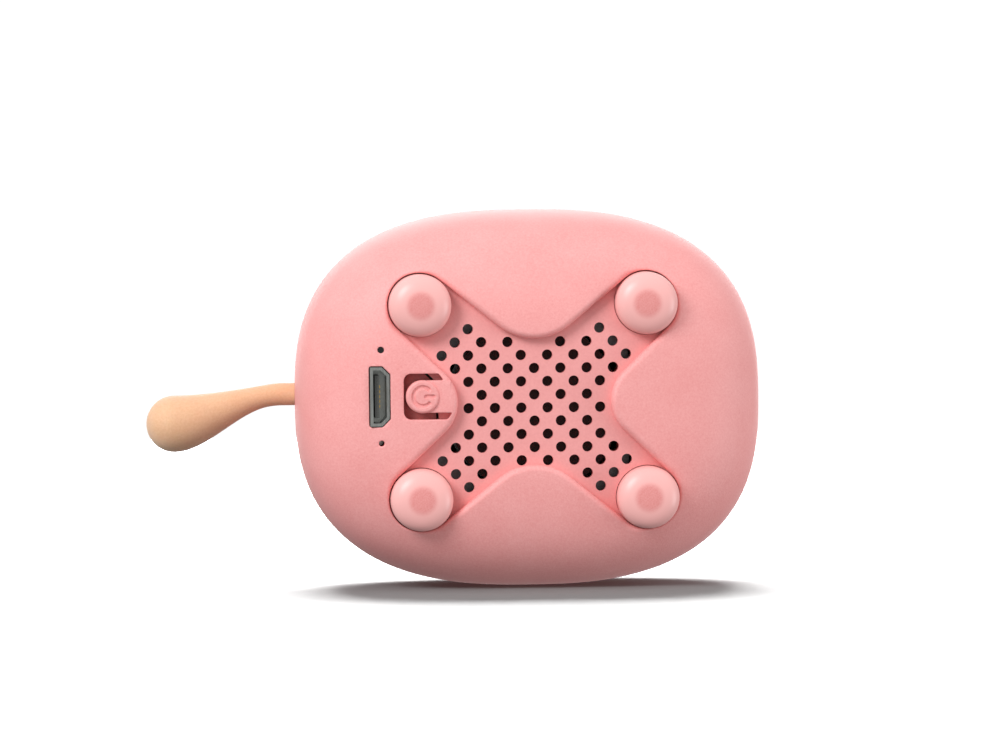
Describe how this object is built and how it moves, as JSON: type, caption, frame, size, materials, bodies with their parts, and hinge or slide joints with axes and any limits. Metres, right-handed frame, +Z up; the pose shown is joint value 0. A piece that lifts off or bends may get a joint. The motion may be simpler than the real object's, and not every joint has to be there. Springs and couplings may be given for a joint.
{
  "type": "shower speaker",
  "caption": "Pebble-shaped wireless speaker that fires through a perforated belly recess, with round feet, a tongue button and a soft tail.",
  "frame": {"origin": "on the table, under the middle of the whole object's bounding box, tail included", "axes": "+Z up from the four feet, +X along the long axis away from the tail, +Y across"},
  "size_m": [0.0819, 0.0502, 0.043],
  "materials": {
    "frosted_shell": "frosted soft-touch moulding",
    "grille_plastic": "satin moulding",
    "foot_elastomer": "satin elastomer",
    "tail_silicone": "matte silicone",
    "seal_silicone": "silicone",
    "black_mesh": "woven mesh",
    "black_foam": "foam",
    "black_rubber": "moulded",
    "pressed_steel": "pressed and zinc plated",
    "plated_steel": "nickel plated",
    "screw_steel": "zinc plated",
    "port_steel": "nickel plated",
    "gold_contact": "gold plated",
    "copper_winding": "enamelled wire",
    "inner_plastic": "moulded",
    "port_insulator": "moulded",
    "black_plastic": "moulded",
    "white_nylon": "moulded",
    "circuit_board": "solder mask",
    "ceramic_chip": "fired ceramic",
    "cone_paper": "coated paper",
    "spider_cloth": "impregnated cloth",
    "clear_acrylic": "polished",
    "led_package": "moulded",
    "battery_pouch": "laminated pouch",
    "wire_insulation": "extruded"
  },
  "bodies": {
    "housing": {"bottom_shell": "frosted_shell", "top_shell": "frosted_shell", "grille_plate": "grille_plastic", "seal_ring": "seal_silicone", "foot_port_left": "foot_elastomer", "foot_port_right": "foot_elastomer", "foot_nose_left": "foot_elastomer", "foot_nose_right": "foot_elastomer", "button_seal": "foot_elastomer", "acoustic_mesh": "black_mesh", "driver_gasket": "black_foam", "surround": "black_foam", "battery_pad": "black_foam", "microphone_boot": "black_rubber", "driver_frame": "pressed_steel", "driver_clamp": "inner_plastic", "battery_tray": "inner_plastic", "spider": "spider_cloth", "magnet_cup": "plated_steel", "pole_piece": "plated_steel", "magnet": "plated_steel", "terminal_strip": "circuit_board", "main_board": "circuit_board", "port_shell": "port_steel", "port_tongue": "port_insulator", "port_contacts": "gold_contact", "light_pipe": "clear_acrylic", "status_led": "led_package", "microphone": "plated_steel", "switch_body": "black_plastic", "bluetooth_chip": "black_plastic", "amplifier_chip": "black_plastic", "charger_chip": "black_plastic", "power_inductor": "black_plastic", "crystal": "plated_steel", "capacitors": "ceramic_chip", "battery_connector": "white_nylon", "battery": "battery_pouch", "tail_anchor": "tail_silicone", "housing_screws": "screw_steel", "clamp_screws": "screw_steel", "board_screws": "screw_steel", "tray_screws": "screw_steel", "battery_wires": "wire_insulation", "speaker_wires": "wire_insulation"},
    "power_button": {"power_button": "frosted_shell"},
    "switch_plunger": {"switch_plunger": "black_plastic"},
    "cone": {"cone": "cone_paper", "dust_cap": "cone_paper", "voice_coil": "copper_winding"},
    "tail": {"tail": "tail_silicone"}
  },
  "joints": [
    {"name": "button_press", "type": "hinge", "parent": "housing", "child": "power_button", "pos_m": [-0.00175, -0.00085, 0.00194], "axis": [0, 1, 0], "range_deg": [0, 5.5], "stiffness_Nm_per_rad": 0.06},
    {"name": "plunger_travel", "type": "slide", "parent": "housing", "child": "switch_plunger", "axis": [0, 0, 1], "range_m": [0, 0.0003]},
    {"name": "cone_travel", "type": "slide", "parent": "housing", "child": "cone", "axis": [0, 0, 1], "range_m": [-0.0008, 0.0008], "stiffness_N_per_m": 800, "deforming": ["surround", "spider"]},
    {"name": "tail_bend", "type": "hinge", "parent": "housing", "child": "tail", "pos_m": [-0.0227, -0.00055, 0.0245], "axis": [0, 0, 1], "range_deg": [-25, 25], "stiffness_Nm_per_rad": 0.002}
  ],
  "couplings": [
    {"joint": "plunger_travel", "follows": "button_press", "m_per_rad": 0.003122}
  ]
}
